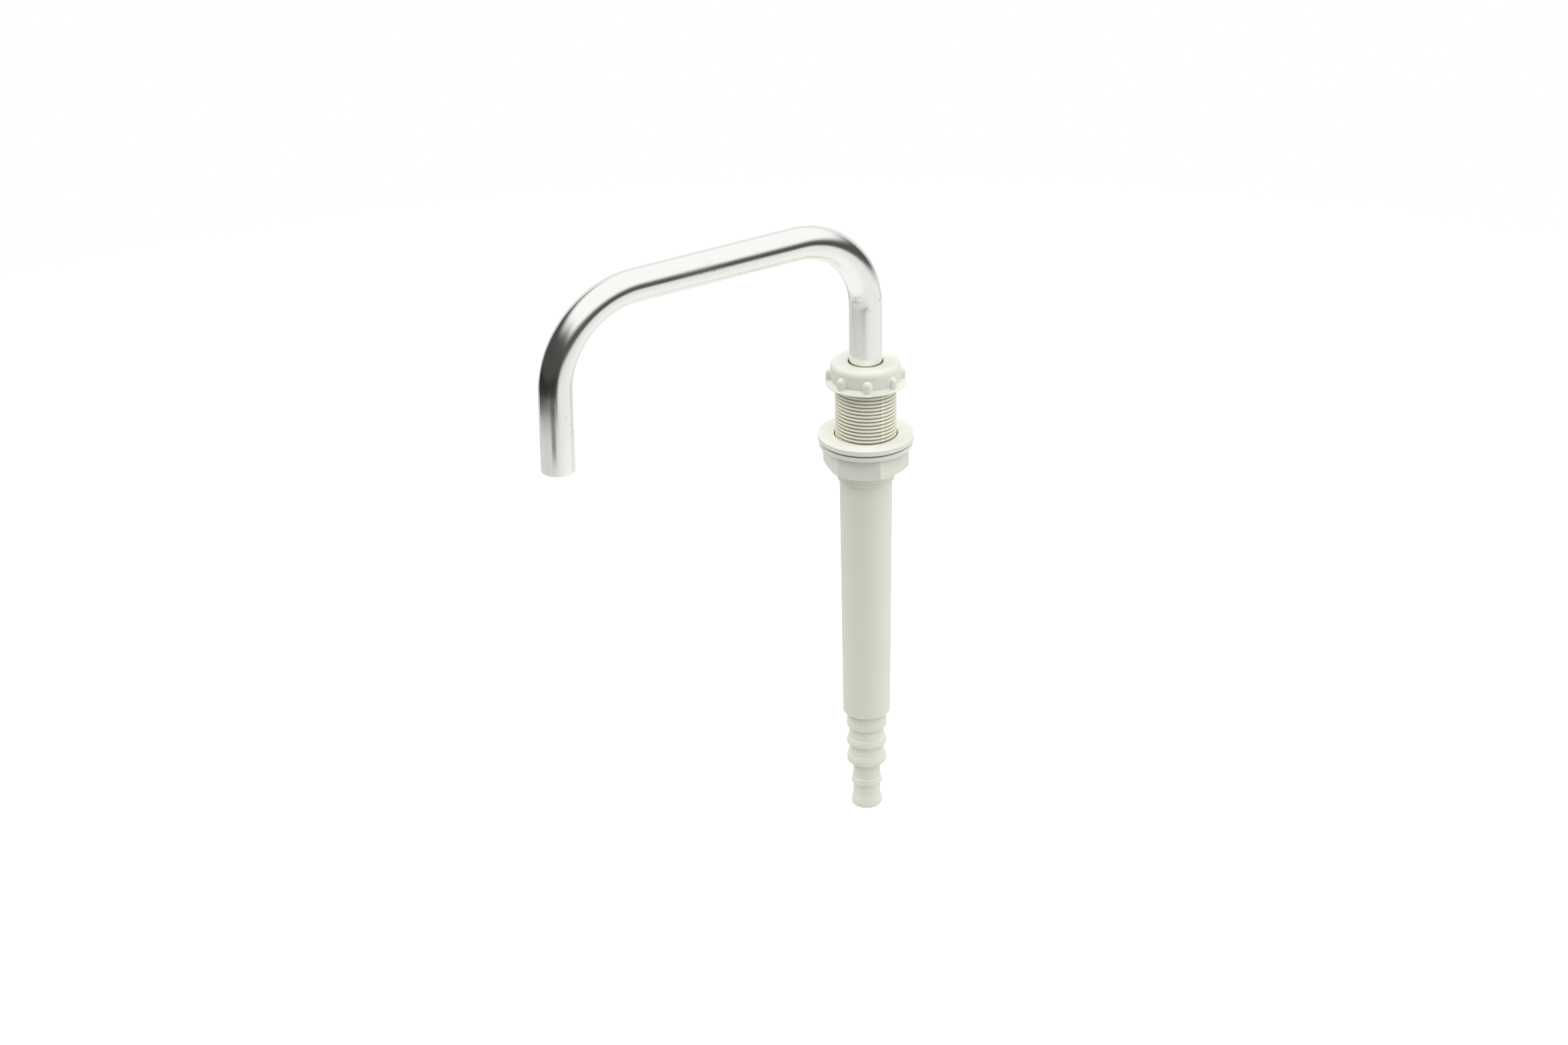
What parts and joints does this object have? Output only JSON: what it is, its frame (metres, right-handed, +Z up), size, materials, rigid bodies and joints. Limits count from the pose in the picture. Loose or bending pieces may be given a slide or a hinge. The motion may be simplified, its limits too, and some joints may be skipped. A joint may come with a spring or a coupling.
{
  "type": "telescopic galley faucet",
  "caption": "Telescopic galley faucet: a bent tube spout slides and turns in a casing held through the deck by a ribbed cap nut and a flange nut, with a stepped hose tail below.",
  "frame": {"origin": "centre of the deck hole, level with the top of the deck, where the rim of the cap nut rests", "axes": "+Z up along the casing; the spout points along -Y; +X to its side"},
  "size_m": [0.0373, 0.1617, 0.2559],
  "materials": {
    "spout_aluminium": "bright",
    "spring_steel": "drawn wire",
    "bush_plastic": "smooth moulded",
    "nut_plastic": "fine moulded matt",
    "seal_rubber": "smooth",
    "sleeve_plastic": "satin moulded",
    "washer_plastic": "fine moulded matt",
    "casing_plastic": "fine moulded matt"
  },
  "bodies": {
    "shank": {"casing": "casing_plastic", "threaded_sleeve": "sleeve_plastic", "gland_bush": "bush_plastic", "gland_seal": "seal_rubber"},
    "thrust": {"thrust_ring": "bush_plastic"},
    "cap": {"cap_nut": "nut_plastic"},
    "washer": {"deck_washer": "washer_plastic"},
    "nut": {"flange_nut": "nut_plastic"},
    "guide": {"guide_bush": "bush_plastic"},
    "spout": {"spout_tube": "spout_aluminium", "snap_ring": "spring_steel"}
  },
  "joints": [
    {"name": "cap_rise", "type": "slide", "parent": "shank", "child": "thrust", "axis": [0, 0, 1], "range_m": [0, 0.00375]},
    {"name": "cap_turn", "type": "hinge", "parent": "thrust", "child": "cap", "pos_m": [0, 0, 0], "axis": [0, 0, 1], "range_deg": [0, 900]},
    {"name": "washer_travel", "type": "slide", "parent": "shank", "child": "washer", "axis": [0, 0, 1], "range_m": [-0.0105, 0.0195]},
    {"name": "nut_turn", "type": "hinge", "parent": "washer", "child": "nut", "pos_m": [0, 0, -0.03], "axis": [0, 0, 1], "range_deg": [-2520, 4680]},
    {"name": "spout_lift", "type": "slide", "parent": "shank", "child": "guide", "axis": [0, 0, 1], "range_m": [-0.0188, 0.0939]},
    {"name": "spout_swivel", "type": "hinge", "parent": "guide", "child": "spout", "pos_m": [0, 0, 0], "axis": [0, 0, 1], "continuous": true}
  ],
  "couplings": [
    {"joint": "cap_rise", "follows": "cap_turn", "m_per_rad": 0.00023873},
    {"joint": "washer_travel", "follows": "nut_turn", "m_per_rad": 0.00023873}
  ]
}
